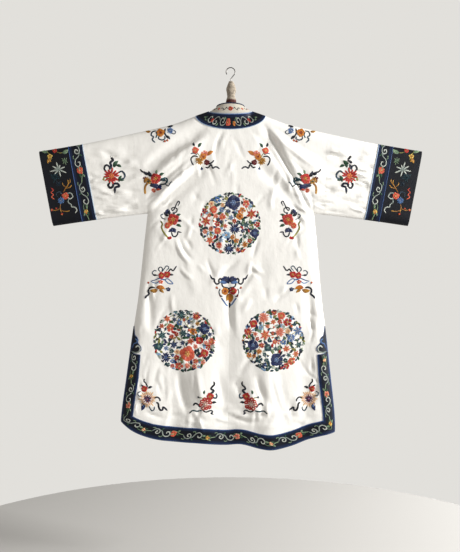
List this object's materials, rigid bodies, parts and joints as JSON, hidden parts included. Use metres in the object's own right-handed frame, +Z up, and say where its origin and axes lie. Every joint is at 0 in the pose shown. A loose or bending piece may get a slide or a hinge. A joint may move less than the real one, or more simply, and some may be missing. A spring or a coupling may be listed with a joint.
{
  "type": "embroidered silk robe on a hanger",
  "caption": "Wide-sleeved side-closing silk robe with dark embroidered borders, hanging flat from a cloth-wrapped hanger with a metal hook.",
  "frame": {"origin": "the point under the bend of the hanger's hook, where a rail carries it", "axes": "+Z up; the robe's back faces -Y and its front +Y; the wearer's right is +X"},
  "size_m": [1.3384, 0.0779, 1.3308],
  "materials": {
    "silk": "ivory silk satin, embroidered",
    "navy_border": "navy silk, embroidered",
    "cuff_silk": "blue-black silk, embroidered",
    "collar_silk": "cream silk, embroidered",
    "knot_cord": "navy silk cord",
    "wrap_cloth": "coarse beige wrapping",
    "hanger_wood": "plain, dull",
    "hook_steel": "dark steel wire"
  },
  "bodies": {
    "root": {"back_left": "silk", "back_right": "silk", "border_back": "navy_border", "border_front": "navy_border", "button_chest": "knot_cord", "button_neck": "knot_cord", "button_side_lower": "knot_cord", "button_side_upper": "knot_cord", "button_underarm": "knot_cord", "collar": "collar_silk", "collar_piping": "navy_border", "cuff_left": "cuff_silk", "cuff_right": "cuff_silk", "front_over": "silk", "front_under": "silk", "hanger_arms": "hanger_wood", "hanger_hook": "hook_steel", "hanger_wrap": "wrap_cloth", "loop_chest": "knot_cord", "loop_neck": "knot_cord", "loop_side_lower": "knot_cord", "loop_side_upper": "knot_cord", "loop_underarm": "knot_cord", "neckband_back": "navy_border", "neckband_front_left": "navy_border", "neckband_front_right": "navy_border", "sleeve_border_left": "navy_border", "sleeve_border_right": "navy_border", "sleeve_left": "silk", "sleeve_right": "silk"}
  },
  "joints": []
}
